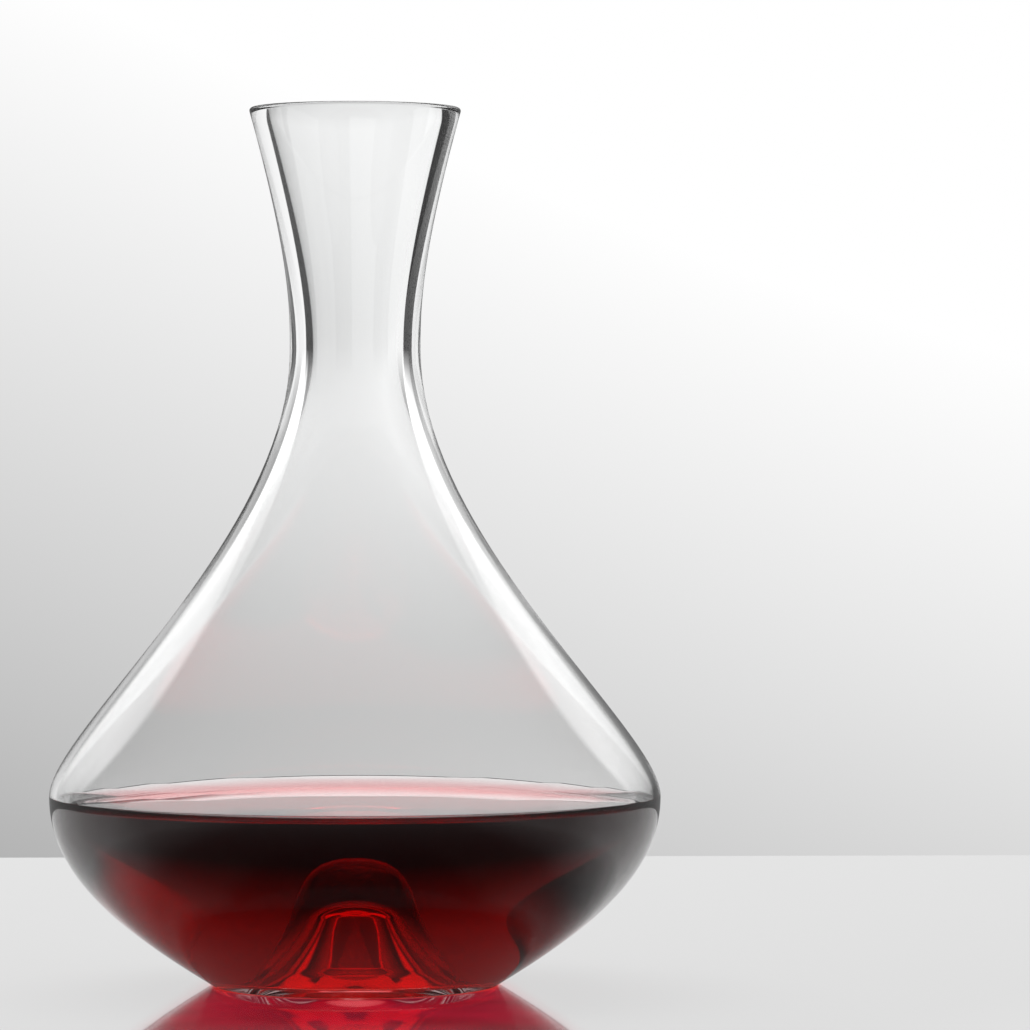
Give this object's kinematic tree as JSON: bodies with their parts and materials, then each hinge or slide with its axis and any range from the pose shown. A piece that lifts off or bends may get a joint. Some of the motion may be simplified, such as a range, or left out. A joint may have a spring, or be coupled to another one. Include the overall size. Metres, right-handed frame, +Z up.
{
  "type": "wine decanter",
  "caption": "Clear blown-glass wine decanter with a wide low bowl, long flanks, waisted neck, flared mouth and a raised punt in its base, part filled with red wine.",
  "frame": {"origin": "centre of the ring that the decanter stands on, at table level", "axes": "+Z up along the axis of the vessel; X and Y lie in the table, in any direction, because the vessel is round"},
  "size_m": [0.1742, 0.1742, 0.25],
  "materials": {
    "clear_glass": "polished",
    "red_wine": "polished"
  },
  "bodies": {
    "vessel": {"glass_vessel": "clear_glass"},
    "wine": {"wine": "red_wine"}
  },
  "joints": [
    {"name": "wine_swirl", "type": "hinge", "parent": "vessel", "child": "wine", "pos_m": [0, 0, 0.03], "axis": [0, 0, 1], "continuous": true}
  ]
}
